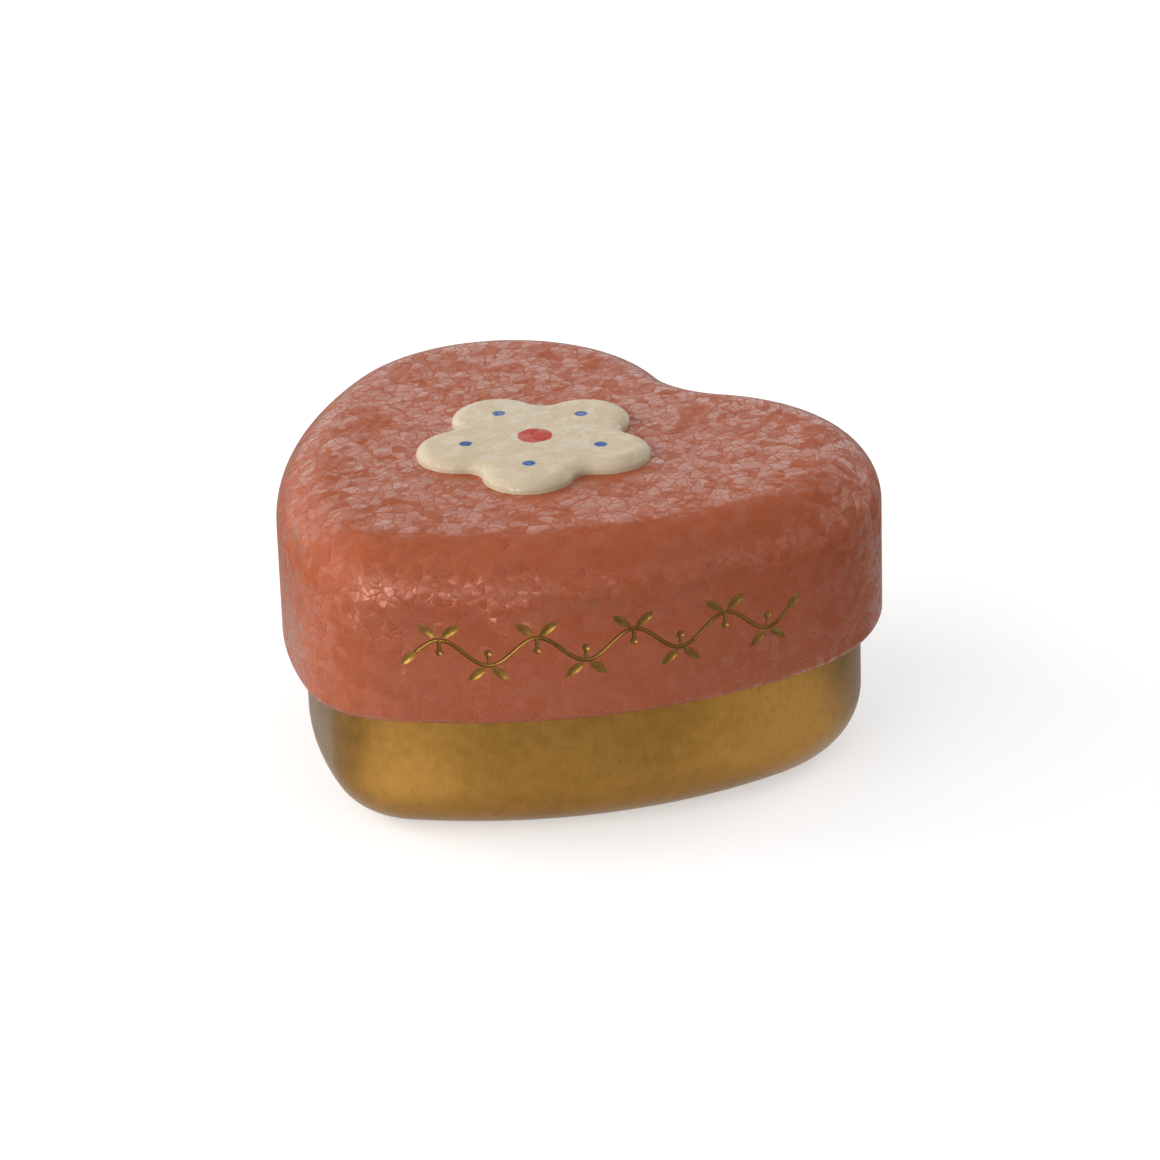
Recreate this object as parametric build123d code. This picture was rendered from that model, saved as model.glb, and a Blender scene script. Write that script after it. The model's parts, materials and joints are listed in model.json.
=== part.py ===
from build123d import *
from collections import namedtuple
from math import atan2, cos, degrees, pi, sin, sqrt, tan
import os

# A heart-shaped slip-lid box in drawn sheet. +Z is up, the heart's tip points to -Y and its notch to +Y.
# The origin is on the surface that the box stands on, at the middle of its width and length.

# Heart outline of the lid's wall, seen from above
width = 60.0
length = 55.5
lobe_radius = 18.0
flank_radius = 50.0
notch_radius = 8.3

# Sheet of both shells
sheet = 0.3

# Lid: its height is that of the closed box, up to the flat top
height = 30.2
lid_depth = 17.2
shoulder_radius = 5.6
hem_radius = 0.9

# Fit of the lid on the cup: round the wall, and over the rim
wall_clearance = 0.3
rim_clearance = 0.2

# Cup: bottom corner, flat ring that it stands on, rolled rim, and the floor panel raised inside the ring
corner_radius = 5.7
ring_width = 1.4
step_run = 0.8
panel_rise = 0.4
panel_tip_radius = 1.0
rim_radius = 0.75

# Emblem: a flower of low relief on the lid, placed from the heart's tip, with a wide bevel above its side
emblem_span = 23.0
emblem_from_tip = 28.75
emblem_side = 0.6
bevel_run = 0.9
bevel_rise = 0.6
petal_count = 5
petal_radius_share = 1.054
valley_radius_share = 0.4

# A bend of a quarter turn is drawn as this many flats, fine on the outer skins and coarse on the inner ones.
# They keep the shells light: round the heart a true arc has many times the facets for the same form.
shoulder_flat_count = 6
corner_flat_count = 7
inner_flat_count = 3

# A rolled edge is drawn as an octagon: half the turn at each of its corners
half_corner = pi / 8

# Places that follow from these sizes, as distances in from the lid's outline
cup_inset = 2 * hem_radius + wall_clearance
corner_inset = cup_inset + corner_radius
ring_inset = corner_inset + ring_width
panel_inset = ring_inset + step_run
tip_radius = panel_tip_radius + panel_inset

# The rim's corners stop just short of the flats of the lid's inner shoulder, which rests on the rim
rim_inset = cup_inset + rim_radius
rim_offset = max(shoulder_radius - rim_inset, 0)
inner_reach = (shoulder_radius - sheet) * cos(pi / 4 / inner_flat_count)
rim_reach = inner_reach - rim_clearance - rim_radius / cos(half_corner)
rim_centre_height = height - shoulder_radius + sqrt(rim_reach**2 - rim_offset**2)

Arc = namedtuple("Arc", "centre radius start sweep side")


def bearing(origin, target):
    """Angle in degrees from one point to another, seen from above."""
    return degrees(atan2(target.Y - origin.Y, target.X - origin.X))


def heart_arcs():
    """The six arcs of the outline, tangent to each other; side is 1 where it bulges and -1 in the notch."""
    lobe = Vector(width / 2 - lobe_radius, length / 2 - lobe_radius)
    tip = Vector(0, tip_radius - length / 2)
    reach = sqrt((notch_radius + lobe_radius) ** 2 - lobe.X**2)
    notch = Vector(0, lobe.Y + reach)

    # The flank's centre lies where circles tangent to the tip's and the lobe's ask it to be
    line = lobe - tip
    from_tip = flank_radius - tip_radius
    from_lobe = flank_radius - lobe_radius
    along = (from_tip**2 - from_lobe**2 + line.length**2) / (2 * line.length)
    across = sqrt(from_tip**2 - along**2)
    unit = line.normalized()
    flank = tip + unit * along + Vector(-unit.Y, unit.X) * across

    low = bearing(flank, tip)
    high = bearing(flank, lobe)
    crest = bearing(lobe, notch)
    left_lobe = Vector(-lobe.X, lobe.Y)
    left_flank = Vector(-flank.X, flank.Y)
    return [
        Arc(tip, tip_radius, -180 - low, 180 + 2 * low, 1),
        Arc(flank, flank_radius, low, high - low, 1),
        Arc(lobe, lobe_radius, high, crest - high, 1),
        Arc(notch, notch_radius, -crest, 2 * crest - 180, -1),
        Arc(left_lobe, lobe_radius, 180 - crest, crest - high, 1),
        Arc(left_flank, flank_radius, 180 - high, high - low, 1),
    ]


def outline(inset):
    """Edges of the heart, a given distance in from the lid's wall."""
    return [
        CenterArc(arc.centre, arc.radius - arc.side * inset, arc.start, arc.sweep)
        for arc in heart_arcs()
    ]


def bend(centre, radius, start, sweep, count):
    """Points of a bend, drawn as a count of flats."""
    arc = CenterArc(centre, radius, start, sweep)
    return [arc @ (index / count) for index in range(count + 1)]


def roll(centre, radius, side):
    """An edge rolled inwards until it meets the wall, drawn as an octagon; side is 1 for upwards."""
    half_flat = radius * tan(half_corner)
    corners = [
        (radius, half_flat),
        (half_flat, radius),
        (-half_flat, radius),
        (-radius, half_flat),
        (-radius, -half_flat),
        (-half_flat, -radius),
        (radius - sheet, -radius),
    ]
    return [centre + Vector(x, side * y) for x, y in corners]


def drawn_shell(section, inset, bottom):
    """Carries a wall's section round the outline and closes it with a flat panel of the same sheet."""
    path = Wire(outline(0))
    travel = path % 0
    across = Plane(path @ 0, x_dir=travel.rotate(Axis.Z, -90), z_dir=-travel)
    wall = sweep(across * section, path)
    panel = extrude(make_face(outline(inset)), sheet)
    return wall + Pos(Z=bottom) * panel


def make_lid():
    """The cap: flat top, rounded shoulder, straight wall and a hem rolled inwards at its open edge."""
    shoulder = Vector(-shoulder_radius, height - shoulder_radius)
    hem = Vector(-hem_radius, height - lid_depth + hem_radius)
    outer = bend(shoulder, shoulder_radius, 90, -90, shoulder_flat_count)
    inner = bend(shoulder, shoulder_radius - sheet, 0, 90, inner_flat_count)
    section = Polyline(*outer, *roll(hem, hem_radius, -1), *inner, close=True)
    return drawn_shell(make_face(section), shoulder_radius, height - sheet)


def make_cup():
    """The cup: raised floor panel, standing ring, round corner, straight wall and a rolled rim."""
    corner = Vector(-corner_inset, corner_radius)
    rim = Vector(-rim_inset, rim_centre_height)
    outer = bend(corner, corner_radius, -90, 90, corner_flat_count)
    inner = bend(corner, corner_radius - sheet, 0, -90, inner_flat_count)
    lift = Vector(0, sheet)
    ring = Vector(-ring_inset, 0)
    panel = Vector(-panel_inset, panel_rise)
    floor = [ring + lift, panel + lift, panel, ring]
    section = Polyline(*outer, *roll(rim, rim_radius, 1), *inner, *floor, close=True)
    return drawn_shell(make_face(section), panel_inset, panel_rise)


def flower(inset, level):
    """Round petals joined by small round valleys: its face a given distance in, at a level above the lid."""
    half_step = pi / petal_count
    ratio = petal_radius_share * sin(half_step)
    petal_place = emblem_span / 2 / (1 + ratio)
    petal_radius = petal_place * ratio
    valley_radius = petal_radius * valley_radius_share
    reach = sqrt((petal_radius + valley_radius) ** 2 - (petal_place * sin(half_step)) ** 2)
    petal = Vector(0, petal_place)
    valley = Vector(0, petal_place * cos(half_step) + reach).rotate(Axis.Z, -degrees(half_step))

    turn = bearing(petal, valley)
    opening = 2 * (90 - degrees(half_step) - turn)
    edges = []
    for index in range(petal_count):
        place = Rot(Z=360 / petal_count * index)
        edges.append(place * CenterArc(petal, petal_radius - inset, turn, 180 - 2 * turn))
        edges.append(place * CenterArc(valley, valley_radius + inset, turn + 180, opening))
    return Pos(Z=level) * make_face(edges)


def make_emblem():
    """The flower: flat back, upright side, bevel and flat front, ruled from one outline to the next."""
    outlines = [flower(0, 0), flower(0, emblem_side), flower(bevel_run, emblem_side + bevel_rise)]
    return Pos(Y=emblem_from_tip - length / 2, Z=height) * loft(outlines, ruled=True)


os.makedirs("parts", exist_ok=True)
export_step(make_cup(), "parts/base_shell.step")
export_step(make_lid(), "parts/lid_shell.step")
export_step(make_emblem(), "parts/lid_emblem.step")
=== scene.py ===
import json
import logging
import math
from dataclasses import dataclass
from enum import Enum

import bmesh
import bpy
from mathutils import Matrix, Vector

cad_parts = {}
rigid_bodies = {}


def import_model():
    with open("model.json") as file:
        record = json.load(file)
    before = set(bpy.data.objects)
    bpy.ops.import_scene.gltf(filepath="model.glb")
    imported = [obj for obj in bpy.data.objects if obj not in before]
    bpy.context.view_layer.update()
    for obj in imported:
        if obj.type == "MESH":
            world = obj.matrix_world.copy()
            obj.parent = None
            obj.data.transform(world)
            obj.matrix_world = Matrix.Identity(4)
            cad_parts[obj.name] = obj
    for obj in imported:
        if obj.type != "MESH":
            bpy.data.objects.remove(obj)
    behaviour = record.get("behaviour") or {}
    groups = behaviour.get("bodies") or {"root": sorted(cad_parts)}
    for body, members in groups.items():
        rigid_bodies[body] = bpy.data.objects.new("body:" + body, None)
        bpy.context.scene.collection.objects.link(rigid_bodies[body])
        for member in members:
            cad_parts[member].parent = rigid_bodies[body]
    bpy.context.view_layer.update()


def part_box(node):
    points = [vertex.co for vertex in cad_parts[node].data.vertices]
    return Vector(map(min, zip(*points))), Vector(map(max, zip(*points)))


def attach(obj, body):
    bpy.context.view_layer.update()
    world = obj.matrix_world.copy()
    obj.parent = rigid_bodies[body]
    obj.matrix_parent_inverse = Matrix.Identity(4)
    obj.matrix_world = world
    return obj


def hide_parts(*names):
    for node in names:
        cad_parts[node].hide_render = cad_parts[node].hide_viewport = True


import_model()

log = logging.getLogger("keepsake_box")

# A millimetre, what counts as the same place, and the sheet that both shells are drawn from, in metres
MM = 0.001
NEAR = 0.002 * MM
SHEET = 0.3 * MM
SMOOTH_ANGLE = 35.0
# The middle of the colours that noise and cells give
TINT_MIDDLE = (0.5, 0.5, 0.5)
LOG_FORMAT = "%(relativeCreated)6.0f ms: %(message)s"

Colour = tuple[float, float, float, float]
Point = tuple[float, float, float]
Place = tuple[float, float]
Span = tuple[float, float]


def srgb(red: float, green: float, blue: float) -> Colour:
    """Turns a colour as a screen shows it into the linear one that shaders take.

    Args:
        red: Red, from 0 to 255.
        green: Green, from 0 to 255.
        blue: Blue, from 0 to 255.

    Returns:
        The linear colour, with full alpha.
    """
    linear = []
    for value in (red / 255, green / 255, blue / 255):
        linear.append(value / 12.92 if value <= 0.04045 else ((value + 0.055) / 1.055) ** 2.4)
    return (*linear, 1.0)


class Signal:
    """A value inside a material. Arithmetic on it adds Math nodes."""

    def __init__(self, graph: "Graph", socket: bpy.types.NodeSocket) -> None:
        """Keeps the graph that the value is in, and the output socket that holds it."""
        self.graph = graph
        self.socket = socket

    def _math(self, operation: str, *values: "float | Signal") -> "Signal":
        """Adds a Math node with these inputs."""
        return self.graph.node("ShaderNodeMath", {"operation": operation}, dict(enumerate(values)))[0]

    def __add__(self, other: "float | Signal") -> "Signal":
        """The sum."""
        return self._math("ADD", self, other)

    def __radd__(self, other: "float | Signal") -> "Signal":
        """The sum, from the right."""
        return self._math("ADD", other, self)

    def __sub__(self, other: "float | Signal") -> "Signal":
        """The difference."""
        return self._math("SUBTRACT", self, other)

    def __rsub__(self, other: "float | Signal") -> "Signal":
        """The difference, from the right."""
        return self._math("SUBTRACT", other, self)

    def __mul__(self, other: "float | Signal") -> "Signal":
        """The product."""
        return self._math("MULTIPLY", self, other)

    def __rmul__(self, other: "float | Signal") -> "Signal":
        """The product, from the right."""
        return self._math("MULTIPLY", other, self)

    def most(self, other: "float | Signal") -> "Signal":
        """The larger of the two."""
        return self._math("MAXIMUM", self, other)

    def ramp(self, low: float, high: float) -> "Signal":
        """Eases from 0 at one value to 1 at another.

        Args:
            low: The value at which the result is 0.
            high: The value at which the result is 1. It may be the smaller one.

        Returns:
            The eased value.
        """
        settings = {"interpolation_type": "SMOOTHSTEP"}
        inputs = {"Value": self, "From Min": low, "From Max": high}
        return self.graph.node("ShaderNodeMapRange", settings, inputs)["Result"]


class Outputs:
    """A node's outputs, by name or number."""

    def __init__(self, graph: "Graph", node: bpy.types.Node) -> None:
        """Keeps the node and its graph."""
        self.graph = graph
        self.bpy_node = node

    def __getitem__(self, key: "str | int") -> Signal:
        """The output of that name or number."""
        return Signal(self.graph, self.bpy_node.outputs[key])


class Graph:
    """The node graph of a material or of the surroundings."""

    def __init__(self, owner: bpy.types.Material | bpy.types.World) -> None:
        """Turns nodes on and clears them.

        Args:
            owner: The new material or world.
        """
        self.owner = owner
        owner.use_nodes = True
        self.tree = owner.node_tree
        self.tree.nodes.clear()

    def node(self, kind: str, settings: dict | None = None, inputs: dict | None = None) -> Outputs:
        """Adds any node.

        Args:
            kind: The node's type, such as ShaderNodeTexNoise.
            settings: Its own properties, set before its sockets.
            inputs: Values or signals for its sockets, by name or number.

        Returns:
            The node's outputs.
        """
        made = self.tree.nodes.new(kind)
        for key, value in (settings or {}).items():
            setattr(made, key, value)
        for key, value in (inputs or {}).items():
            if isinstance(value, Signal):
                self.tree.links.new(value.socket, made.inputs[key])
            else:
                made.inputs[key].default_value = value
        return Outputs(self, made)

    def vector(
        self, operation: str, *values: "Point | Vector | Signal", scale: "float | Signal" = 1.0
    ) -> Signal:
        """Adds a Vector Math node.

        Args:
            operation: The node's operation, such as ADD or SCALE.
            values: Its vectors.
            scale: The factor of a SCALE.

        Returns:
            The result: a number for DISTANCE, DOT_PRODUCT and LENGTH, and otherwise a vector.
        """
        inputs = dict(enumerate(values))
        if operation == "SCALE":
            inputs["Scale"] = scale
        made = self.node("ShaderNodeVectorMath", {"operation": operation}, inputs)
        return made["Value" if operation in ("DISTANCE", "DOT_PRODUCT", "LENGTH") else "Vector"]

    def mix(self, factor: "float | Signal", first: "Colour | Signal", second: "Colour | Signal") -> Signal:
        """Mixes two colours, from the first at 0 to the second at 1."""
        inputs = {"Factor": factor, "A": first, "B": second}
        return self.node("ShaderNodeMix", {"data_type": "RGBA"}, inputs)["Result"]

    def millimetres(self) -> Signal:
        """The object's own coordinates, in millimetres."""
        place = self.node("ShaderNodeTexCoord")["Object"]
        return self.vector("SCALE", place, scale=1 / MM)

    def noise(self, place: Signal, grain: float, detail: float = 2.0, roughness: float = 0.5) -> Outputs:
        """Adds smooth noise, with lumps of that size in millimetres. Its outputs are Fac and Color."""
        inputs = {"Vector": place, "Scale": 1 / grain, "Detail": detail, "Roughness": roughness}
        return self.node("ShaderNodeTexNoise", {}, inputs)

    def cells(self, place: Signal, size: float, feature: str = "F1") -> Outputs:
        """Adds a Voronoi pattern of cells of about that size, in millimetres."""
        return self.node("ShaderNodeTexVoronoi", {"feature": feature}, {"Vector": place, "Scale": 1 / size})

    def mapped(self, place: Signal, scale: Point, turn: Point = (0.0, 0.0, 0.0)) -> Signal:
        """Scales coordinates and turns them about X, Y and Z, in radians."""
        inputs = {"Vector": place, "Rotation": turn, "Scale": scale}
        return self.node("ShaderNodeMapping", {}, inputs)["Vector"]

    def upward(self, vector: Signal) -> Signal:
        """The upward part of a vector, its Z."""
        return self.node("ShaderNodeSeparateXYZ", {}, {"Vector": vector})["Z"]

    def channel(self, colour: Signal, name: str) -> Signal:
        """One channel of a colour, such as Green."""
        return self.node("ShaderNodeSeparateColor", {}, {"Color": colour})[name]

    def finish(self, shader: Signal) -> bpy.types.Material | bpy.types.World:
        """Joins a shader to the output.

        Args:
            shader: The shader that covers the surface.

        Returns:
            The finished material or world.
        """
        is_world = isinstance(self.owner, bpy.types.World)
        kind = "ShaderNodeOutputWorld" if is_world else "ShaderNodeOutputMaterial"
        self.node(kind, {}, {"Surface": shader})
        return self.owner


@dataclass(frozen=True)
class PaintedDot:
    """A round mark of paint: its middle on the piece, seen from above, its radius and its colour."""

    middle: Place
    radius: float
    colour: Colour


@dataclass(frozen=True)
class Flakes:
    """One layer of flakes.

    Size is in millimetres. Stretch is how much longer than wide the flakes are, turn sets their pattern
    askew, tilt is how far each of them leans, and share is how much the layer counts for.
    """

    size: float
    stretch: float
    turn: Point
    tilt: float
    share: float


FLAKE_LAYERS = (
    Flakes(2.3, 1.2, (0.3, 0.2, 0.5), 0.03, 0.2),
    Flakes(1.35, 1.2, (0.7, -0.4, 1.9), 0.08, 0.5),
    Flakes(0.75, 1.2, (-0.5, 0.6, 1.2), 0.08, 0.3),
)


@dataclass(frozen=True)
class FlakeEnamel:
    """Enamel over angular flakes: each has its own gloss and tilt, and a fine crease parts it from the next.

    All sizes are in millimetres. Strength scales the tilt and the creases. Where the sheet begins to bend,
    the flakes tilt more by the factor unrest and shine as metal by the share shine. Down the wall their
    gloss evens out by the share calm. A span is where a mask starts and where it is full.
    """

    name: str
    body: Colour
    flake: Colour
    strength: float = 1.0
    gloss: float = 1.0
    unrest: float = 0.0
    shine: float = 0.0
    calm: float = 0.0
    wander: float = 0.12
    wander_grain: float = 1.5
    tint_span: Span = (0.25, 0.75)
    gloss_span: Span = (0.35, 0.65)
    least_gloss: float = 0.15
    bend_reach: float = 4.5
    bend_span: Span = (0.85, 0.5)
    calm_reach: float = 5.0
    crease_width: float = 0.09
    crease_depth: float = 0.02
    coat_span: Span = (0.45, 1.0)
    polish_span: Span = (0.5, 1.0)
    polish: float = 0.36
    crease_roughness: float = 0.5
    peel_size: float = 0.22
    peel_detail: float = 3.0
    peel_share: float = 0.1
    dot_grain: float = 0.9
    dot_uneven_share: float = 0.3
    dot_softness: float = 0.06

    def material(self, dots: tuple[PaintedDot, ...] = (), bend_height: float = 0.0) -> bpy.types.Material:
        """Makes the material.

        Args:
            dots: Marks painted on the enamel.
            bend_height: The height at which the sheet begins to bend, in metres.

        Returns:
            The finished material.
        """
        graph = Graph(bpy.data.materials.new(self.name))
        place = graph.millimetres()
        height = graph.upward(place)
        foot = bend_height / MM
        surface = graph.node("ShaderNodeNewGeometry")["Normal"]
        bend = height.ramp(foot - self.bend_reach, foot) * graph.upward(surface).ramp(*self.bend_span)
        shade, crease, lean = self._flakes(place, surface, bend)
        coated = crease.ramp(*self.coat_span)
        gloss = shade.ramp(*self.gloss_span) * (1 - self.least_gloss) + self.least_gloss
        even_gloss = (1 + self.least_gloss) / 2
        gloss = gloss + (even_gloss - gloss) * height.ramp(foot, foot - self.calm_reach) * self.calm
        colour = graph.mix(shade.ramp(*self.tint_span), self.body, self.flake)
        for dot in dots:
            colour = graph.mix(self._inside(place, dot), colour, dot.colour)
        peel = graph.noise(place, self.peel_size, self.peel_detail)["Fac"]
        relief = {
            "Strength": 1.0,
            "Distance": self.crease_depth * MM * self.strength,
            "Height": crease + peel * self.peel_share,
            "Normal": lean,
        }
        enamel = {
            "Base Color": colour,
            "Metallic": bend * (self.shine * coated),
            "Roughness": self.crease_roughness - crease.ramp(*self.polish_span) * self.polish,
            "IOR": 1.27,
            "Normal": graph.node("ShaderNodeBump", {}, relief)["Normal"],
            "Coat Weight": gloss * coated * self.gloss,
            "Coat Roughness": 0.25,
            "Coat IOR": 1.36,
        }
        return graph.finish(graph.node("ShaderNodeBsdfPrincipled", {}, enamel)["BSDF"])

    def _flakes(self, place: Signal, surface: Signal, bend: Signal) -> tuple[Signal, Signal, Signal]:
        """Lays the layers of flakes over each other.

        Args:
            place: The coordinates, in millimetres.
            surface: The surface's own normal.
            bend: 1 where the sheet begins to bend and 0 elsewhere.

        Returns:
            The flakes' shade and how far a point is from a crease, both from 0 to 1, and the flakes' normal.
        """
        graph = place.graph
        drift = graph.vector("SUBTRACT", graph.noise(place, self.wander_grain)["Color"], TINT_MIDDLE)
        bent = graph.vector("ADD", place, graph.vector("SCALE", drift, scale=2 * self.wander))
        # A tint runs by half a unit to both sides of its middle, so twice that is a full tilt
        tilt = self.strength * (2.0 + bend * (2.0 * self.unrest))
        lean = surface
        shade: Signal | float = 0.0
        crease: Signal | float = 0.0
        for layer in FLAKE_LAYERS:
            turned = graph.mapped(bent, (1.0, 1 / layer.stretch, 1.0), layer.turn)
            tint = graph.cells(turned, layer.size)["Color"]
            offset = graph.vector("SUBTRACT", tint, TINT_MIDDLE)
            lean = graph.vector("ADD", lean, graph.vector("SCALE", offset, scale=tilt * layer.tilt))
            shade = shade + graph.channel(tint, "Green") * layer.share
            gap = graph.cells(turned, layer.size, "DISTANCE_TO_EDGE")["Distance"]
            crease = crease + gap.ramp(0.0, self.crease_width / layer.size) * layer.share
        return shade, crease, graph.vector("NORMALIZE", lean)

    def _inside(self, place: Signal, dot: PaintedDot) -> Signal:
        """Finds where a painted dot lies, with a slightly uneven edge.

        Args:
            place: The coordinates, in millimetres.
            dot: The dot.

        Returns:
            1 inside the dot and 0 outside it.
        """
        graph = place.graph
        middle = (dot.middle[0] / MM, dot.middle[1] / MM, 0.0)
        radius = dot.radius / MM
        flat = graph.vector("MULTIPLY", place, (1.0, 1.0, 0.0))
        uneven = graph.noise(place, self.dot_grain)["Fac"] * (self.dot_uneven_share * radius)
        distance = graph.vector("DISTANCE", flat, middle) + uneven
        edge = radius * (1 + self.dot_uneven_share / 2)
        return distance.ramp(edge + self.dot_softness, edge - self.dot_softness)


@dataclass(frozen=True)
class GoldLacquer:
    """Satin gold lacquer on sheet: mottled, with short upright scratches and a few small pits.

    All sizes are in millimetres. Wear scales the scratches, the pits and the relief. A span is where a mask
    starts and where it is full.
    """

    name: str
    deep: Colour
    bright: Colour
    worn: Colour
    roughness: float = 0.3
    wear: float = 1.0
    cloud_size: float = 8.0
    mottle_size: float = 1.3
    grain_size: float = 0.25
    tone_span: Span = (0.34, 0.66)
    scratch_width: float = 0.28
    scratch_stretch: float = 5.0
    scratch_span: Span = (0.58, 0.72)
    pit_spacing: float = 1.7
    pit_span: Span = (0.12, 0.05)
    chosen_span: Span = (0.6, 0.85)
    relief_strength: float = 0.6
    relief_depth: float = 0.05

    def material(self) -> bpy.types.Material:
        """Makes the material.

        Returns:
            The finished material.
        """
        graph = Graph(bpy.data.materials.new(self.name))
        place = graph.millimetres()
        cloud = graph.noise(place, self.cloud_size)["Fac"]
        mottle = graph.noise(place, self.mottle_size, 4.0, 0.6)["Fac"]
        grain = graph.noise(place, self.grain_size)["Fac"]
        upright = graph.mapped(place, (1.0, 1.0, 1 / self.scratch_stretch))
        scratch = graph.noise(upright, self.scratch_width, 1.0)["Fac"].ramp(*self.scratch_span)
        pit = self._pits(place)
        tone = (cloud * 0.5 + mottle * 0.5).ramp(*self.tone_span)
        colour = graph.mix(tone, self.deep, self.bright)
        relief = {
            "Strength": self.relief_strength * self.wear,
            "Distance": self.relief_depth * MM,
            "Height": mottle * 0.5 + grain * 0.3 - scratch * 0.35 - pit * 1.4,
        }
        lacquer = {
            "Base Color": graph.mix((scratch * 0.18 + pit * 0.6) * self.wear, colour, self.worn),
            "Metallic": 1.0,
            "Roughness": self.roughness + (mottle - 0.5) * 0.2 + scratch * 0.1,
            "Normal": graph.node("ShaderNodeBump", {}, relief)["Normal"],
        }
        return graph.finish(graph.node("ShaderNodeBsdfPrincipled", {}, lacquer)["BSDF"])

    def _pits(self, place: Signal) -> Signal:
        """Finds small pits, which lie in the middle of some of the cells of a coarse pattern.

        Args:
            place: The coordinates, in millimetres.

        Returns:
            1 in a pit and 0 outside it.
        """
        graph = place.graph
        turned = graph.mapped(place, (1.0, 1.6, 0.8), (0.4, 0.3, 0.6))
        pattern = graph.cells(turned, self.pit_spacing)
        chosen = graph.channel(pattern["Color"], "Blue").ramp(*self.chosen_span)
        return pattern["Distance"].ramp(*self.pit_span) * chosen


CORAL = FlakeEnamel("coral_enamel", srgb(160, 82, 51), srgb(168, 89, 59), unrest=0.8, shine=0.06, calm=0.7)
CREAM = FlakeEnamel("cream_enamel", srgb(195, 178, 149), srgb(203, 187, 160), strength=0.4, gloss=0.5)
GOLD = GoldLacquer("gold_lacquer", srgb(146, 107, 47), srgb(164, 121, 60), srgb(100, 71, 34), wear=0.55)
LINING = GoldLacquer("gold_lining", srgb(150, 112, 60), srgb(170, 132, 76), srgb(110, 80, 42), wear=0.5)
INLAY = GoldLacquer("engraved_gold", srgb(120, 88, 42), srgb(142, 106, 54), srgb(80, 56, 28), roughness=0.45)
RED = srgb(174, 44, 24)
BLUE = srgb(45, 85, 145)


def start_clean() -> None:
    """Leaves edit mode and deselects everything, because an operator acts on all that is selected."""
    if bpy.context.object is not None and bpy.context.object.mode != "OBJECT":
        bpy.ops.object.mode_set(mode="OBJECT")
    bpy.ops.object.select_all(action="DESELECT")


def new_vertex(place: Vector) -> None:
    """Adds a small plane and merges it to a single vertex, in edit mode if that is on.

    Args:
        place: Where the vertex goes.
    """
    bpy.ops.mesh.primitive_plane_add(size=MM, location=place)
    if bpy.context.object.mode != "EDIT":
        bpy.ops.object.transform_apply(location=True, rotation=True, scale=True)
        bpy.ops.object.mode_set(mode="EDIT")
    bpy.ops.mesh.merge(type="CENTER")


def merge_all() -> None:
    """Selects everything that is edited and merges the vertices that lie on each other."""
    bpy.ops.mesh.select_all(action="SELECT")
    bpy.ops.mesh.remove_doubles(threshold=NEAR)


def face_outwards() -> None:
    """Turns all faces that are edited outwards and leaves edit mode."""
    bpy.ops.mesh.select_all(action="SELECT")
    bpy.ops.mesh.normals_make_consistent(inside=False)
    bpy.ops.object.mode_set(mode="OBJECT")


def finish_piece(piece: bpy.types.Object, name: str, body: str, node: str) -> None:
    """Names a piece, smooths it, ties it to its body, and hides the node that it stands for.

    Args:
        piece: The finished object.
        name: Its name.
        body: The body that it rides on.
        node: The node that it stands for.
    """
    piece.name = name
    piece.data.name = name
    start_clean()
    piece.select_set(True)
    bpy.context.view_layer.objects.active = piece
    bpy.ops.object.shade_smooth_by_angle(angle=math.radians(SMOOTH_ANGLE))
    piece.select_set(False)
    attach(piece, body)
    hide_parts(node)
    log.info("%s: %d faces, on %s", name, len(piece.data.polygons), body)


@dataclass(frozen=True)
class Turn:
    """One arc of an outline, seen from above: a negative sweep turns clockwise."""

    centre: Vector
    sweep: float
    steps: int

    def spin(self) -> None:
        """Carries what is selected round this arc. The operator turns clockwise, so the angle is negated."""
        bpy.ops.mesh.spin(steps=self.steps, angle=-self.sweep, center=self.centre, axis=(0, 0, 1))


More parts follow.
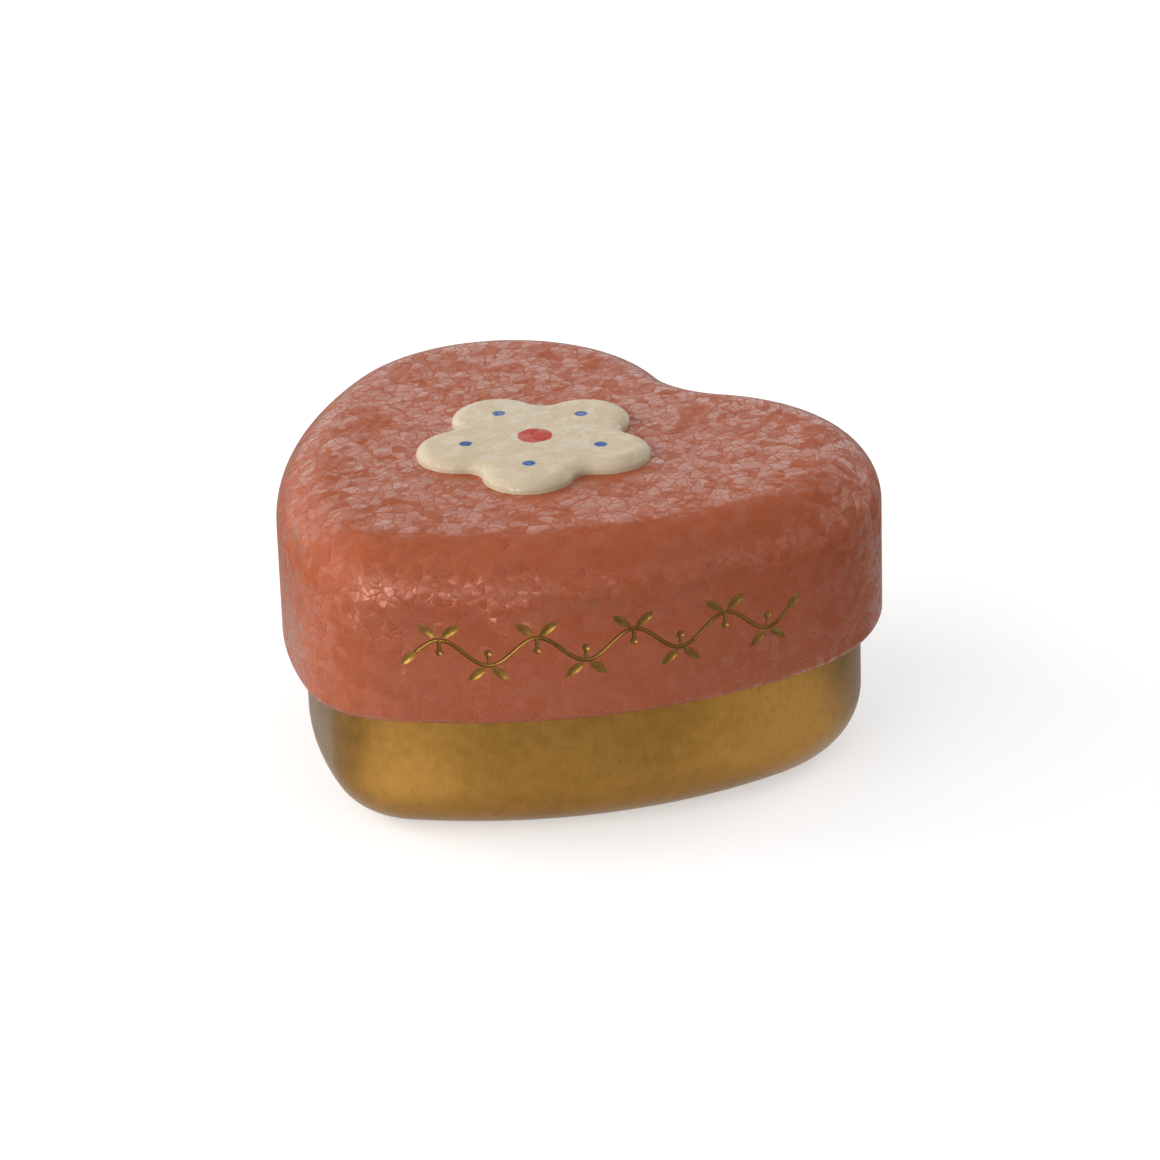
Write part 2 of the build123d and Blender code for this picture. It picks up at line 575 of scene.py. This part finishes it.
@dataclass(frozen=True)
class Heart:
    """The outline of the lid's wall: tip, flank, lobe and notch, as arcs tangent to each other."""

    width: float
    length: float
    lobe_radius: float = 18.0 * MM
    flank_radius: float = 50.0 * MM
    notch_radius: float = 8.3 * MM
    tip_radius: float = 11.0 * MM
    chord: float = 0.6 * MM
    least_steps: int = 4

    @property
    def tip(self) -> Vector:
        """The centre of the arc at the tip."""
        return Vector((0, self.tip_radius - self.length / 2, 0))

    @property
    def lobe(self) -> Vector:
        """The centre of the arc of the lobe on the +X side."""
        return Vector((self.width / 2 - self.lobe_radius, self.length / 2 - self.lobe_radius, 0))

    @property
    def notch(self) -> Vector:
        """The centre of the arc in the notch."""
        reach = math.sqrt((self.notch_radius + self.lobe_radius) ** 2 - self.lobe.x**2)
        return Vector((0, self.lobe.y + reach, 0))

    @property
    def flank(self) -> Vector:
        """Works out where the arc of the flank on the +X side is tangent to the tip's and the lobe's.

        Returns:
            The centre of that arc.
        """
        line = self.lobe - self.tip
        from_tip = self.flank_radius - self.tip_radius
        from_lobe = self.flank_radius - self.lobe_radius
        along = (from_tip**2 - from_lobe**2 + line.length**2) / (2 * line.length)
        across = math.sqrt(from_tip**2 - along**2)
        unit = line.normalized()
        return self.tip + unit * along + Vector((-unit.y, unit.x, 0)) * across

    @staticmethod
    def bearing(origin: Vector, target: Vector) -> float:
        """The angle from one point to another, seen from above."""
        return math.atan2(target.y - origin.y, target.x - origin.x)

    @property
    def flank_ends(self) -> tuple[float, float]:
        """The bearings at which the flank's arc starts, at the tip, and ends, at the lobe."""
        return self.bearing(self.flank, self.tip), self.bearing(self.flank, self.lobe)

    def half_turns(self) -> list[Turn]:
        """Lists the arcs of the half on the +X side.

        Returns:
            Tip, flank, lobe and notch, from the middle of the tip to the middle of the notch.
        """
        low, high = self.flank_ends
        crest = self.bearing(self.lobe, self.notch)
        return [
            self._turn(self.tip, self.tip_radius, low + math.pi / 2),
            self._turn(self.flank, self.flank_radius, high - low),
            self._turn(self.lobe, self.lobe_radius, crest - high),
            self._turn(self.notch, self.notch_radius, math.pi / 2 - crest),
        ]

    def _turn(self, centre: Vector, radius: float, sweep: float) -> Turn:
        """An arc, with as many steps as its length needs."""
        return Turn(centre, sweep, max(self.least_steps, round(abs(sweep) * radius / self.chord)))


class Skin(Enum):
    """The two skins of a shell, numbered as its material slots."""

    OUTSIDE = 0
    LINING = 1


# Flats in the bends of the section, on the outer skin and on the lining
BEND_STEPS = 20
INNER_BEND_STEPS = 14
ROLL_STEPS = 16
INNER_ROLL_STEPS = 10
SMALL_BEND_STEPS = 6


class SheetDrawing:
    """Draws the section of a drawn shell, in the plane through the tip, and carries it round.

    A point of the section is its inset from the lid's wall and its height.
    """

    def __init__(self, heart: Heart) -> None:
        """Keeps the outline that the section is carried round."""
        self.heart = heart
        self.at = (0.0, 0.0)

    def _place(self, point: Place) -> Vector:
        """Where a point of the section lies in space."""
        return Vector((0, point[0] - self.heart.length / 2, point[1]))

    def start(self, point: Place) -> None:
        """Starts a stroke at a point. The first one starts the object as well."""
        new_vertex(self._place(point))
        self.at = point

    def line(self, point: Place) -> None:
        """Draws a straight run.

        Args:
            point: Where it ends.
        """
        move = self._place(point) - self._place(self.at)
        bpy.ops.mesh.extrude_region_move(TRANSFORM_OT_translate={"value": move})
        self.at = point

    def bend(self, centre: Place, degrees: float, steps: int) -> None:
        """Draws an arc.

        Args:
            centre: The arc's centre.
            degrees: How far it turns, positive from outwards to upwards.
            steps: How many flats it has.
        """
        angle = math.radians(degrees)
        middle = self._place(centre)
        bpy.ops.mesh.spin(steps=steps, angle=angle, center=middle, axis=(1, 0, 0))
        out = centre[0] - self.at[0]
        up = self.at[1] - centre[1]
        turned_out = out * math.cos(angle) - up * math.sin(angle)
        turned_up = out * math.sin(angle) + up * math.cos(angle)
        self.at = (centre[0] - turned_out, centre[1] + turned_up)

    def carry_round(self, skin: Skin) -> None:
        """Carries the stroke round half of the heart and gives it a finish.

        Args:
            skin: The skin that the stroke draws.
        """
        bpy.ops.mesh.select_linked()
        for turn in self.heart.half_turns():
            turn.spin()
        bpy.ops.mesh.select_linked()
        bpy.context.object.active_material_index = skin.value
        bpy.ops.object.material_slot_assign()

    def close(self, panel_heights: dict[Skin, float]) -> bpy.types.Object:
        """Mirrors the half, joins the strokes where they meet, and closes the two skins of the panel.

        Args:
            panel_heights: The height of each skin's open loop.

        Returns:
            The shell, with its faces turned outwards.
        """
        bpy.ops.object.mode_set(mode="OBJECT")
        shell = bpy.context.object
        mirror = shell.modifiers.new("other_half", "MIRROR")
        mirror.merge_threshold = NEAR
        bpy.ops.object.modifier_apply(modifier=mirror.name)
        bpy.ops.object.mode_set(mode="EDIT")
        merge_all()
        for skin, height in panel_heights.items():
            bpy.ops.mesh.select_all(action="DESELECT")
            mesh = bmesh.from_edit_mesh(shell.data)
            for edge in mesh.edges:
                level = all(abs(vertex.co.z - height) < NEAR for vertex in edge.verts)
                edge.select_set(edge.is_boundary and level)
            bmesh.update_edit_mesh(shell.data)
            bpy.ops.mesh.edge_face_add()
            shell.active_material_index = skin.value
            bpy.ops.object.material_slot_assign()
        face_outwards()
        return shell


def dress(piece: bpy.types.Object, *materials: bpy.types.Material) -> None:
    """Fills an object's material slots.

    Args:
        piece: The object.
        materials: Its materials, in the order of the slots.
    """
    piece.data.materials.clear()
    for material in materials:
        piece.data.materials.append(material)


@dataclass
class EngravedVine:
    """A running vine, cut shallowly into the lid's flank and gilded: a wave with leaves and berries.

    It is cut as if by a round-nosed tool. The tool's middle stays a little way outside the wall, so that
    where its radius shrinks the cut gets narrow and shallow. A place on the flank is its run and its height.
    """

    heart: Heart
    middle: float
    wave: float = 9.0 * MM
    swing: float = 1.3 * MM
    swings: int = 8
    stem_steps: int = 80
    stem_half_width: float = 0.2 * MM
    stem_lift: float = 0.05 * MM
    leaf_length: float = 2.5 * MM
    leaf_half_width: float = 0.46 * MM
    leaf_lift: float = 0.55 * MM
    leaf_lean: float = 52.0
    leaf_steps: int = 10
    berry_radius: float = 0.5 * MM
    berry_lift: float = 0.33 * MM
    berry_subdivisions: int = 3
    stalk_length: float = 1.0 * MM
    stalk_share: float = 0.9
    tool_resolution: int = 4

    def cut(self, shell: bpy.types.Object) -> None:
        """Cuts the vine into the shell, in passes of strokes that don't touch each other.

        Args:
            shell: The lid's closed shell.
        """
        end = self.swings * self.wave / 4
        steps = range(self.stem_steps + 1)
        stem = [self._on_stem(-end + 2 * end * index / self.stem_steps) for index in steps]
        swings = [-end + (index + 0.5) * self.wave / 2 for index in range(self.swings)]
        self._take_away(shell, [self._stroke(stem, self.stem_half_width, self.stem_lift)])
        for lean in (-self.leaf_lean, self.leaf_lean):
            leaves = [self._leaf(self._on_stem(run), self._side(run) * (90.0 + lean)) for run in swings]
            self._take_away(shell, leaves)
        tip = end - 2 * self.stem_half_width
        slope = math.degrees(math.atan(2 * math.pi * self.swing / self.wave))
        ends = [self._leaf(self._on_stem(tip), slope), self._leaf(self._on_stem(-tip), slope + 180.0)]
        self._take_away(shell, ends)
        self._take_away(shell, [self._stalk(run) for run in swings])
        self._take_away(shell, [self._berry(run) for run in swings])

    @staticmethod
    def _take_away(shell: bpy.types.Object, bodies: list[bpy.types.Object]) -> None:
        """Joins bodies, closes their ends, gilds them and cuts them out of the shell.

        Args:
            shell: The shell that is cut.
            bodies: The bodies. None touches another.
        """
        start_clean()
        for body in bodies:
            body.select_set(True)
        bpy.context.view_layer.objects.active = bodies[0]
        bpy.ops.object.join()
        bpy.ops.object.mode_set(mode="EDIT")
        merge_all()
        face_outwards()
        tool = bpy.context.object
        dress(tool, bpy.data.materials.get(INLAY.name) or INLAY.material())
        start_clean()
        bpy.context.view_layer.objects.active = shell
        cut = shell.modifiers.new("cut", "BOOLEAN")
        cut.object = tool
        cut.solver = "EXACT"
        cut.material_mode = "TRANSFER"
        bpy.ops.object.modifier_apply(modifier=cut.name)
        bpy.data.objects.remove(tool)

    def _side(self, run: float) -> float:
        """1 where the stem swings up and -1 where it swings down."""
        return math.copysign(1.0, self._on_stem(run)[1] - self.middle)

    def _on_stem(self, run: float) -> Place:
        """The place of the stem at a run along the flank."""
        return run, self.middle + self.swing * math.sin(2 * math.pi * run / self.wave)

    def _in_space(self, place: Place, lift: float) -> Vector:
        """Finds where a place on the flank lies in space.

        Args:
            place: Its run and its height.
            lift: How far outside the wall it is.

        Returns:
            The point.
        """
        low, high = self.heart.flank_ends
        turn = (low + high) / 2 + place[0] / self.heart.flank_radius
        reach = self.heart.flank_radius + lift
        return self.heart.flank + Vector((math.cos(turn) * reach, math.sin(turn) * reach, place[1]))

    def _stroke(
        self, places: list[Place], half_width: float, lift: float, tapers: bool = False
    ) -> bpy.types.Object:
        """Makes the body that one stroke takes away.

        Args:
            places: The stroke's points on the flank.
            half_width: Half of its greatest width.
            lift: How far outside the wall the tool's middle is.
            tapers: Whether both ends come to a point.

        Returns:
            A closed tube.
        """
        points = [self._in_space(place, lift) for place in places]
        start_clean()
        new_vertex(points[0])
        for before, after in zip(points, points[1:]):
            bpy.ops.mesh.extrude_region_move(TRANSFORM_OT_translate={"value": after - before})
        bpy.ops.object.mode_set(mode="OBJECT")
        bpy.ops.object.convert(target="CURVE")
        curve = bpy.context.object.data
        curve.bevel_depth = MM
        curve.bevel_resolution = self.tool_resolution
        curve.use_fill_caps = True
        for index, point in enumerate(curve.splines[0].points):
            share = math.sin(math.pi * index / (len(points) - 1)) if tapers else 1.0
            point.radius = math.hypot(half_width * share, lift) / MM
        bpy.ops.object.convert(target="MESH")
        return bpy.context.object

    def _leaf(self, foot: Place, degrees: float) -> bpy.types.Object:
        """Makes a pointed leaf.

        Args:
            foot: Its place on the stem.
            degrees: Its angle from straight along the run.

        Returns:
            The body that it takes away.
        """
        angle = math.radians(degrees)
        places = []
        for index in range(self.leaf_steps + 1):
            reach = self.stem_half_width / 2 + self.leaf_length * index / self.leaf_steps
            places.append((foot[0] + math.cos(angle) * reach, foot[1] + math.sin(angle) * reach))
        return self._stroke(places, self.leaf_half_width, self.leaf_lift, tapers=True)

    def _stalk(self, run: float) -> bpy.types.Object:
        """Makes a short stalk inside a swing of the stem.

        Args:
            run: Its run along the flank.

        Returns:
            The body that it takes away.
        """
        place, side = self._on_stem(run), self._side(run)
        ends = [(run, place[1] - side * reach) for reach in (self.stem_half_width / 2, self.stalk_length)]
        return self._stroke(ends, self.stem_half_width * self.stalk_share, self.stem_lift)

    def _berry(self, run: float) -> bpy.types.Object:
        """Makes a berry on the end of a stalk.

        Args:
            run: Its run along the flank.

        Returns:
            The body that it takes away.
        """
        start_clean()
        height = self._on_stem(run)[1] - self._side(run) * (self.stalk_length + self.berry_radius / 2)
        place = self._in_space((run, height), self.berry_lift)
        bpy.ops.mesh.primitive_ico_sphere_add(
            subdivisions=self.berry_subdivisions, radius=self.berry_radius, location=place
        )
        bpy.ops.object.transform_apply(location=True, rotation=True, scale=True)
        return bpy.context.object


@dataclass
class Lid:
    """The coral cap: flat top, rounded shoulder, straight wall and a hem rolled inwards."""

    heart: Heart
    top: float
    edge: float
    sheet: float = SHEET
    shoulder_radius: float = 5.6 * MM
    hem_radius: float = 0.9 * MM
    flat_margin: float = 1.5 * MM
    vine_height: float = 7.5 * MM

    def build(self) -> bpy.types.Object:
        """Models the shell with its enamel outside and its gold lining.

        Returns:
            The engraved shell.
        """
        start_clean()
        drawing = SheetDrawing(self.heart)
        shoulder = (self.shoulder_radius, self.top - self.shoulder_radius)
        hem = (self.hem_radius, self.edge + self.hem_radius)
        meeting = math.degrees(math.acos((self.hem_radius - self.sheet) / self.hem_radius))

        drawing.start((self.shoulder_radius + self.flat_margin, self.top))
        drawing.line((self.shoulder_radius, self.top))
        drawing.bend(shoulder, -90, BEND_STEPS)
        drawing.line((0.0, hem[1]))
        drawing.bend(hem, -180, ROLL_STEPS)
        dress(bpy.context.object, CORAL.material(bend_height=shoulder[1]), LINING.material())
        drawing.carry_round(Skin.OUTSIDE)

        drawing.start((2 * self.hem_radius, hem[1]))
        drawing.bend(hem, meeting - 180, INNER_ROLL_STEPS)
        drawing.line((self.sheet, shoulder[1]))
        drawing.bend(shoulder, 90, INNER_BEND_STEPS)
        drawing.line((self.shoulder_radius + self.flat_margin, self.top - self.sheet))
        drawing.carry_round(Skin.LINING)
        shell = drawing.close({Skin.OUTSIDE: self.top, Skin.LINING: self.top - self.sheet})
        EngravedVine(self.heart, self.edge + self.vine_height).cut(shell)
        return shell


@dataclass
class Cup:
    """The gold cup: raised floor panel, standing ring, round corner, straight wall and a rolled rim."""

    heart: Heart
    inset: float
    top: float
    sheet: float = SHEET
    corner_radius: float = 5.7 * MM
    ring_width: float = 1.4 * MM
    step_run: float = 0.8 * MM
    panel_rise: float = 0.4 * MM
    rim_radius: float = 0.75 * MM
    flat_margin: float = 0.2 * MM

    def build(self) -> bpy.types.Object:
        """Models the shell with its lacquer outside and inside.

        Returns:
            The shell.
        """
        start_clean()
        drawing = SheetDrawing(self.heart)
        corner = (self.inset + self.corner_radius, self.corner_radius)
        ring = corner[0] + self.ring_width
        panel = ring + self.step_run
        rim = (self.inset + self.rim_radius, self.top - self.rim_radius)
        meeting = math.degrees(math.acos((self.rim_radius - self.sheet) / self.rim_radius))

        drawing.start((panel + self.flat_margin, self.panel_rise))
        drawing.line((panel, self.panel_rise))
        self._step(drawing, (panel, self.panel_rise), -1)
        drawing.line((corner[0], 0.0))
        drawing.bend(corner, 90, BEND_STEPS)
        drawing.line((self.inset, rim[1]))
        drawing.bend(rim, 180, ROLL_STEPS)
        dress(bpy.context.object, GOLD.material(), LINING.material())
        drawing.carry_round(Skin.OUTSIDE)

        drawing.start((self.inset + 2 * self.rim_radius, rim[1]))
        drawing.bend(rim, 180 - meeting, INNER_ROLL_STEPS)
        drawing.line((self.inset + self.sheet, corner[1]))
        drawing.bend(corner, -90, INNER_BEND_STEPS)
        drawing.line((ring, self.sheet))
        self._step(drawing, (ring, self.sheet), 1)
        drawing.line((panel + self.flat_margin, self.panel_rise + self.sheet))
        drawing.carry_round(Skin.LINING)
        return drawing.close({Skin.OUTSIDE: self.panel_rise, Skin.LINING: self.panel_rise + self.sheet})

    @property
    def _step_bend(self) -> tuple[float, float]:
        """The turn, in degrees, and the radius of the two bends of the step."""
        turn = 2 * math.atan(self.panel_rise / self.step_run)
        return math.degrees(turn), self.step_run / (2 * math.sin(turn))

    def _step(self, drawing: SheetDrawing, start: Place, way: int) -> None:
        """Draws the step between the standing ring and the panel.

        Args:
            drawing: The drawing that it goes into.
            start: Where it starts, as an inset from the lid's wall and a height.
            way: 1 inwards and up, and -1 outwards and down.
        """
        turn, radius = self._step_bend
        inset, height = start
        drawing.bend((inset, height + way * radius), -turn, SMALL_BEND_STEPS)
        ending = (inset + way * self.step_run, height + way * (self.panel_rise - radius))
        drawing.bend(ending, turn, SMALL_BEND_STEPS)


@dataclass
class Emblem:
    """The low flower on the lid, flat on its back and rounded round its front."""

    bottom: float
    top: float
    towards_notch: float = 1.0 * MM
    span: float = 23.0 * MM
    petals: int = 5
    petal_radius_share: float = 1.054
    valley_radius_share: float = 0.4
    petal_steps: int = 28
    valley_steps: int = 8
    side: float = 0.3 * MM
    crown_run: float = 1.5 * MM
    crown_steps: int = 9
    middle_dot_radius: float = 1.7 * MM
    petal_dot_radius: float = 0.62 * MM
    petal_dot_share: float = 0.95

    @property
    def centre(self) -> Vector:
        """The flower's middle, seen from above."""
        return Vector((0, self.towards_notch, 0))

    @property
    def half_step(self) -> float:
        """Half of the angle from one petal to the next."""
        return math.pi / self.petals

    @property
    def petal_ratio(self) -> float:
        """A petal's radius as a share of its centre's distance from the flower's middle."""
        return self.petal_radius_share * math.sin(self.half_step)

    @property
    def petal_place(self) -> float:
        """A petal's centre's distance from the flower's middle."""
        return self.span / 2 / (1 + self.petal_ratio)

    def build(self) -> bpy.types.Object:
        """Models the flower plate with its painted marks.

        Returns:
            The plate, with its faces turned outwards.
        """
        start_clean()
        self._outline()
        bpy.ops.mesh.edge_face_add()
        bpy.ops.mesh.extrude_region_move(TRANSFORM_OT_translate={"value": (0, 0, self.side)})
        self._crown()
        face_outwards()
        dress(bpy.context.object, CREAM.material(self._dots()))
        return bpy.context.object

    def _outline(self) -> None:
        """Draws the closed outline: round petals joined by small round valleys."""
        petal_radius = self.petal_place * self.petal_ratio
        valley_radius = petal_radius * self.valley_radius_share
        across, along = math.sin(self.half_step), math.cos(self.half_step)
        reach = math.sqrt((petal_radius + valley_radius) ** 2 - (self.petal_place * across) ** 2)
        valley_place = self.petal_place * along + reach
        petal = Vector((0, self.petal_place, 0))
        valley = Vector((valley_place * across, valley_place * along, 0))
        turn = Heart.bearing(petal, valley)
        opening = math.pi - 2 * self.half_step - 2 * turn
        start = petal + Vector((math.cos(turn), math.sin(turn), 0)) * petal_radius

        new_vertex(self.centre + start + Vector((0, 0, self.bottom)))
        for index in range(self.petals):
            place = Matrix.Rotation(2 * self.half_step * index, 3, "Z")
            Turn(self.centre + place @ petal, math.pi - 2 * turn, self.petal_steps).spin()
            other = Matrix.Rotation(2 * self.half_step * (index + 1), 3, "Z")
            Turn(self.centre + other @ valley, -opening, self.valley_steps).spin()
        merge_all()

    def _dots(self) -> tuple[PaintedDot, ...]:
        """Places the painted marks.

        Returns:
            A large one in the middle and a small one on each petal.
        """
        petal = Vector((0, self.petal_place * self.petal_dot_share, 0))
        dots = [PaintedDot((self.centre.x, self.centre.y), self.middle_dot_radius, RED)]
        for index in range(self.petals):
            middle = self.centre + Matrix.Rotation(2 * self.half_step * index, 3, "Z") @ petal
            dots.append(PaintedDot((middle.x, middle.y), self.petal_dot_radius, BLUE))
        return tuple(dots)

    def _crown(self) -> None:
        """Insets and raises the front step by step, along a quarter of an ellipse."""
        rise = self.top - self.bottom - self.side
        run_before, rise_before = 0.0, 0.0
        for index in range(self.crown_steps):
            turn = math.pi / 2 * (index + 1) / self.crown_steps
            run_now, rise_now = self.crown_run * (1 - math.cos(turn)), rise * math.sin(turn)
            bpy.ops.mesh.inset(thickness=run_now - run_before, depth=rise_now - rise_before)
            run_before, rise_before = run_now, rise_now


@dataclass(frozen=True)
class Pool:
    """A painted pool of light on the floor as gloss shows it: its centre, its reach and how much it adds
    there.
    """

    centre: Point
    reach: float
    gain: float


class Shows(Enum):
    """Where a lamp shows."""

    EVERYWHERE = 0
    IN_GLOSS = 1
    ON_MATT = 2


@dataclass(frozen=True)
class Lamp:
    """A soft lamp that faces the object.

    Bearing and height are its direction from the object, in degrees from +X and above the floor. Away is its
    distance and size the width and height of its face, in metres. Power is in watts.
    """

    name: str
    bearing: float
    height: float
    away: float
    size: Place
    power: float
    shows: Shows = Shows.EVERYWHERE

    def add(self, target: Vector) -> None:
        """Adds the lamp.

        Args:
            target: The point that it faces.
        """
        turn, rise = math.radians(self.bearing), math.radians(self.height)
        offset = Vector((math.cos(turn) * math.cos(rise), math.sin(turn) * math.cos(rise), math.sin(rise)))
        data = bpy.data.lights.new(self.name, "AREA")
        data.shape = "RECTANGLE"
        data.size, data.size_y = self.size
        data.energy = self.power
        lamp = bpy.data.objects.new(self.name, data)
        lamp.location = target + offset * self.away
        lamp.rotation_mode = "QUATERNION"
        lamp.rotation_quaternion = offset.to_track_quat("Z", "Y")
        lamp.visible_glossy = self.shows is not Shows.ON_MATT
        lamp.visible_diffuse = self.shows is not Shows.IN_GLOSS
        bpy.context.scene.collection.objects.link(lamp)


TARGET = Vector((0, 3.75, 15.0)) * MM


@dataclass
class Studio:
    """A plain pale floor, soft lamps, and the camera at the photograph's angle.

    Distances are in metres and angles in degrees. The camera faces the target, a point inside the box, and
    shows it at the target's pixel of a square picture. A span is where a mask starts and where it is full.
    """

    target: Vector
    distance: float = 0.5
    azimuth: float = 41.56
    elevation: float = 24.239
    roll: float = 1.948
    pixels_per_metre: float = 10339.6
    picture: float = 1160.0
    target_pixel: Place = (559.25, 583.12)
    sensor: float = 36.0
    nearest: float = 0.01
    floor_size: float = 3.0
    floor_paint: Colour = (0.62, 0.62, 0.62, 1.0)
    floor_glow: float = 0.5
    far_glow: float = 0.5
    far_span: Span = (0.3, 0.9)
    shade_core: float = 0.004
    shade_edge: float = 0.016
    mirrored_share: float = 0.22
    pools: tuple[Pool, ...] = (
        Pool((0.014, -0.014, 0.0), 0.085, 0.62),
        Pool((0.006, -0.042, 0.0), 0.020, 1.2),
        Pool((0.044, 0.012, 0.0), 0.026, 0.8),
        Pool((-0.048, -0.052, 0.0), 0.034, 0.9),
    )
    hot_spot: Pool = Pool((0.006, -0.036, 0.0), 0.014, 0.3)
    lamps: tuple[Lamp, ...] = (
        Lamp("key", -95.0, 24.0, 0.7, (0.8, 0.45), 2.3),
        Lamp("low_strip", -80.0, 8.0, 0.7, (0.26, 0.18), 0.65),
        Lamp("glow_strip", -84.0, 11.0, 0.7, (0.44, 0.3), 1.9, Shows.IN_GLOSS),
        Lamp("glint_strip", -56.0, 12.0, 0.7, (0.5, 0.12), 0.6, Shows.IN_GLOSS),
        Lamp("right_fill", 80.0, 18.0, 0.7, (0.4, 0.4), 1.7, Shows.ON_MATT),
        Lamp("left_fill", -150.0, 24.0, 0.7, (0.4, 0.4), 2.8, Shows.ON_MATT),
    )
    ambient: float = 0.22
    sky: float = 0.5
    horizon: float = 0.92
    overhead: float = 0.25
    overhead_span: Span = (0.5, 0.6)
    behind_camera: float = 0.55
    behind_camera_span: Span = (0.7, 0.97)

    def camera(self) -> None:
        """Sets the camera so that its axis meets the picture where the photograph's did."""
        turn, rise = math.radians(self.azimuth), math.radians(self.elevation)
        level = math.cos(rise)
        back = Vector((math.sin(turn) * level, -math.cos(turn) * level, math.sin(rise)))
        right = Vector((math.cos(turn), math.sin(turn), 0))
        up = back.cross(right)
        axes = Matrix((right, up, back)).transposed().to_4x4()
        data = bpy.data.cameras.new("photo_view")
        data.sensor_width = self.sensor
        data.lens = self.pixels_per_metre * self.distance * self.sensor / self.picture
        data.shift_x = 0.5 - self.target_pixel[0] / self.picture
        data.shift_y = self.target_pixel[1] / self.picture - 0.5
        data.clip_start = self.nearest
        camera = bpy.data.objects.new("photo_view", data)
        camera.matrix_world = (
            Matrix.Translation(self.target + back * self.distance)
            @ axes
            @ Matrix.Rotation(math.radians(-self.roll), 4, "Z")
        )
        bpy.context.scene.collection.objects.link(camera)
        bpy.context.scene.camera = camera

    def floor(self) -> None:
        """Lays the floor. What its glow adds up to is grey, so it goes in as the colour of the emission."""
        start_clean()
        bpy.ops.mesh.primitive_plane_add(size=self.floor_size)
        floor = bpy.context.object
        floor.name = "floor"
        graph = Graph(bpy.data.materials.new("pale_floor"))
        paint = graph.node("ShaderNodeBsdfDiffuse", {}, {"Color": self.floor_paint})["BSDF"]
        rays = graph.node("ShaderNodeLightPath")
        mirrored = rays["Is Glossy Ray"]
        place = graph.node("ShaderNodeTexCoord")["Object"]
        # Painted pools of light: gloss sees the floor dimmed to a share, and brighter again in these pools
        share: Signal | float = self.mirrored_share
        for pool in self.pools:
            share = share + graph.vector("DISTANCE", place, pool.centre).ramp(pool.reach, 0.0) * pool.gain
        # Painted shadow: the glow that gloss sees fades out under the middle of the box
        clear = graph.vector("LENGTH", place).ramp(self.shade_core, self.shade_edge)
        seen = rays["Is Camera Ray"].most(rays["Is Transmission Ray"]).most(mirrored * clear)
        # Painted hot spot: a patch of light on the floor that only gloss sees
        near = graph.vector("DISTANCE", place, self.hot_spot.centre).ramp(self.hot_spot.reach, 0.0)
        far = graph.vector("LENGTH", place).ramp(*self.far_span) * rays["Is Camera Ray"]
        level = seen * self.floor_glow + far * self.far_glow + mirrored * near * self.hot_spot.gain
        glow = graph.node("ShaderNodeEmission", {}, {"Color": level, "Strength": 1.0})["Emission"]
        bright = graph.node("ShaderNodeAddShader", {}, {0: paint, 1: glow})["Shader"]
        black = graph.node("ShaderNodeEmission", {}, {"Strength": 0.0})["Emission"]
        dim = mirrored * (1.0 - share)
        shader = graph.node("ShaderNodeMixShader", {}, {0: dim, 1: bright, 2: black})
        dress(floor, graph.finish(shader["Shader"]))

    def world(self) -> None:
        """Sets the surroundings: white round the horizon where seen or mirrored, softer light from above."""
        graph = Graph(bpy.data.worlds.new("surroundings"))
        direction = graph.node("ShaderNodeTexCoord")["Generated"]
        rise = graph.upward(direction)
        rays = graph.node("ShaderNodeLightPath")
        turn = math.radians(self.azimuth)
        towards_camera = graph.vector("DOT_PRODUCT", direction, (math.sin(turn), -math.cos(turn), 0.0))
        mirrored = self.horizon - rise.ramp(*self.overhead_span) * (self.horizon - self.overhead)
        mirrored = mirrored * (1.0 - towards_camera.ramp(*self.behind_camera_span) * self.behind_camera)
        light = self.ambient + rise.most(0.0) * self.sky
        glossy = rays["Is Glossy Ray"]
        seen = rays["Is Camera Ray"].most(rays["Is Transmission Ray"])
        level = seen + glossy * mirrored + (1.0 - seen.most(glossy)) * light
        glow = graph.node("ShaderNodeBackground", {}, {"Color": level, "Strength": 1.0})
        bpy.context.scene.world = graph.finish(glow["Background"])

    def build(self) -> None:
        """Sets up the floor, the lamps, the surroundings and the camera."""
        self.floor()
        for lamp in self.lamps:
            lamp.add(self.target)
        self.world()
        self.camera()
        bpy.context.scene.view_settings.view_transform = "Standard"


def main() -> None:
    """Builds the box from the cup up, then the studio."""
    logging.basicConfig(level=logging.INFO, format=LOG_FORMAT)
    lid_low, lid_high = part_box("lid_shell")
    cup_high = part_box("base_shell")[1]
    emblem_low, emblem_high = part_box("lid_emblem")
    heart = Heart(lid_high.x - lid_low.x, lid_high.y - lid_low.y)
    cup = Cup(heart, lid_high.x - cup_high.x, cup_high.z)
    finish_piece(cup.build(), "gold_cup", "base", "base_shell")
    lid = Lid(heart, lid_high.z, lid_low.z)
    finish_piece(lid.build(), "coral_lid", "lid", "lid_shell")
    emblem = Emblem(emblem_low.z, emblem_high.z)
    finish_piece(emblem.build(), "flower_emblem", "lid", "lid_emblem")
    Studio(TARGET).build()


if __name__ == "__main__":
    main()
